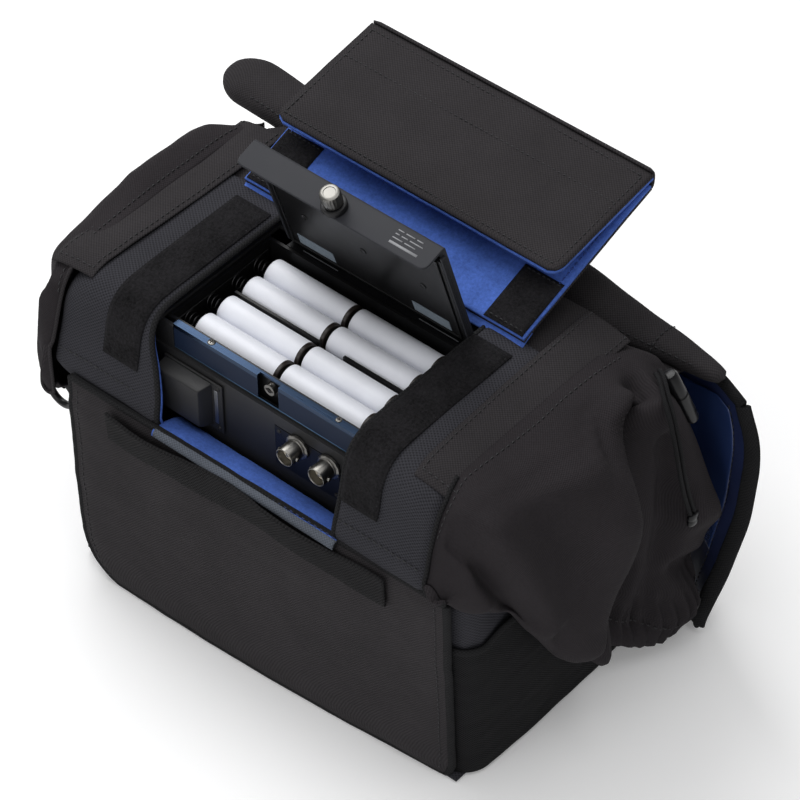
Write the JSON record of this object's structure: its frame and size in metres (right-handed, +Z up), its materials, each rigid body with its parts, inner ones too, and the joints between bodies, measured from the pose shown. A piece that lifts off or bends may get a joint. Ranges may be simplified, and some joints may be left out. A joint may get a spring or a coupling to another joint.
{
  "type": "portable field recorder",
  "caption": "Portable battery field audio recorder in a padded fabric carrying case, with its battery door and the case's top flap open to show the cells.",
  "frame": {"origin": "middle of the whole part's footprint, on the surface it stands on", "axes": "+X along the battery cells, from the left strap to the right strap; +Y from the rear connector side to the recorder's control side; +Z up"},
  "size_m": [0.321, 0.2012, 0.2501],
  "materials": {
    "shell": "satin black instrument enclosure",
    "gloss": "gloss black",
    "door_metal": "dark grey satin paint",
    "blue_metal": "dark blue-grey satin metal",
    "nickel": "bright nickel plate",
    "cell_sleeve": "white shrink sleeve",
    "foam": "pale grey foam",
    "board": "green circuit board",
    "display_glass": "dark window",
    "nylon": "black padded nylon",
    "ballistic_weave": "black coarse woven nylon",
    "felt": "royal blue felt",
    "loop_pile": "black hook-and-loop pile",
    "cord": "black braided cord",
    "mesh": "black elastic mesh"
  },
  "bodies": {
    "case": {"recorder_case": "shell", "connector_block": "shell", "front_panel": "shell", "battery_tray": "gloss", "hinge_leaf": "gloss", "bnc_plate": "gloss", "cord_end": "gloss", "cord_slide": "gloss", "rear_trim_strip": "blue_metal", "strip_screw_left": "nickel", "strip_screw_right": "nickel", "thumbscrew_bush": "nickel", "contact_strip_left": "nickel", "contact_strip_right": "nickel", "bnc_jack_left": "nickel", "bnc_jack_right": "nickel", "circuit_board": "board", "display_window": "display_glass", "case_body": "nylon", "near_panel": "nylon", "left_placket": "nylon", "right_placket": "nylon", "left_sleeve": "nylon", "right_sleeve": "nylon", "case_deck": "nylon", "sun_hood": "nylon", "left_strap": "ballistic_weave", "right_strap": "ballistic_weave", "d_ring_tab": "ballistic_weave", "case_lining": "felt", "near_hook_strip": "loop_pile", "left_loop_strip": "loop_pile", "right_loop_strip": "loop_pile", "drawcord_inner": "cord", "drawcord_outer": "cord", "mesh_pocket": "mesh"},
    "door": {"battery_door": "door_metal", "door_inner_frame": "gloss", "door_pad_left": "foam", "door_pad_right": "foam", "thumbscrew_collar": "gloss"},
    "thumbscrew_body": {"thumbscrew": "nickel"},
    "flap_lower_body": {"flap_lower": "felt", "flap_hook_left": "loop_pile", "flap_hook_right": "loop_pile"},
    "flap_upper_body": {"flap_upper": "nylon"},
    "front_cover_body": {"front_cover": "nylon"},
    "level_knob_left_body": {"level_knob_left": "gloss"},
    "level_knob_right_body": {"level_knob_right": "gloss"},
    "record_button_body": {"record_button": "gloss"},
    "stop_button_body": {"stop_button": "gloss"},
    "d_ring_body": {"d_ring": "gloss"},
    "cell_1_body": {"cell_1": "cell_sleeve"},
    "cell_2_body": {"cell_2": "cell_sleeve"},
    "cell_3_body": {"cell_3": "cell_sleeve"},
    "cell_4_body": {"cell_4": "cell_sleeve"},
    "cell_5_body": {"cell_5": "cell_sleeve"},
    "cell_6_body": {"cell_6": "cell_sleeve"},
    "cell_7_body": {"cell_7": "cell_sleeve"},
    "cell_8_body": {"cell_8": "cell_sleeve"}
  },
  "joints": [
    {"name": "battery_door_hinge", "type": "hinge", "parent": "case", "child": "door", "pos_m": [0.001, 0.0013, 0.167], "axis": [-1, 0, 0], "range_deg": [-73, 12]},
    {"name": "thumbscrew_turn", "type": "hinge", "parent": "door", "child": "thumbscrew_body", "pos_m": [0.001, -0.02763, 0.24181], "axis": [0, -0.2924, 0.9563], "continuous": true},
    {"name": "flap_root_hinge", "type": "hinge", "parent": "case", "child": "flap_lower_body", "pos_m": [-0.0055, 0.0093, 0.176], "axis": [-1, 0, 0], "range_deg": [-45, 12]},
    {"name": "flap_fold_hinge", "type": "hinge", "parent": "flap_lower_body", "child": "flap_upper_body", "pos_m": [-0.0055, 0.1013, 0.2111], "axis": [-1, 0, 0], "range_deg": [0, 160]},
    {"name": "front_cover_hinge", "type": "hinge", "parent": "case", "child": "front_cover_body", "pos_m": [0.0165, 0.0798, 0.144], "axis": [1, 0, 0], "range_deg": [0, 95]},
    {"name": "level_knob_left_turn", "type": "hinge", "parent": "case", "child": "level_knob_left_body", "pos_m": [-0.0735, 0.0513, 0.11], "axis": [0, 1, 0], "range_deg": [-150, 150]},
    {"name": "level_knob_right_turn", "type": "hinge", "parent": "case", "child": "level_knob_right_body", "pos_m": [-0.0435, 0.0513, 0.11], "axis": [0, 1, 0], "range_deg": [-150, 150]},
    {"name": "record_button_press", "type": "slide", "parent": "case", "child": "record_button_body", "axis": [0, -1, 0], "range_m": [0, 0.0012], "stiffness_N_per_m": 400, "springref_m": -0.0008},
    {"name": "stop_button_press", "type": "slide", "parent": "case", "child": "stop_button_body", "axis": [0, -1, 0], "range_m": [0, 0.0012], "stiffness_N_per_m": 400, "springref_m": -0.0008},
    {"name": "d_ring_swing", "type": "hinge", "parent": "case", "child": "d_ring_body", "pos_m": [-0.1255, -0.0802, 0.0934], "axis": [1, 0, 0], "range_deg": [-25, 25]},
    {"name": "cell_1_lift", "type": "slide", "parent": "case", "child": "cell_1_body", "axis": [0, 0, 1], "range_m": [0, 0.024]},
    {"name": "cell_2_lift", "type": "slide", "parent": "case", "child": "cell_2_body", "axis": [0, 0, 1], "range_m": [0, 0.024]},
    {"name": "cell_3_lift", "type": "slide", "parent": "case", "child": "cell_3_body", "axis": [0, 0, 1], "range_m": [0, 0.024]},
    {"name": "cell_4_lift", "type": "slide", "parent": "case", "child": "cell_4_body", "axis": [0, 0, 1], "range_m": [0, 0.024]},
    {"name": "cell_5_lift", "type": "slide", "parent": "case", "child": "cell_5_body", "axis": [0, 0, 1], "range_m": [0, 0.024]},
    {"name": "cell_6_lift", "type": "slide", "parent": "case", "child": "cell_6_body", "axis": [0, 0, 1], "range_m": [0, 0.024]},
    {"name": "cell_7_lift", "type": "slide", "parent": "case", "child": "cell_7_body", "axis": [0, 0, 1], "range_m": [0, 0.024]},
    {"name": "cell_8_lift", "type": "slide", "parent": "case", "child": "cell_8_body", "axis": [0, 0, 1], "range_m": [0, 0.024]}
  ]
}
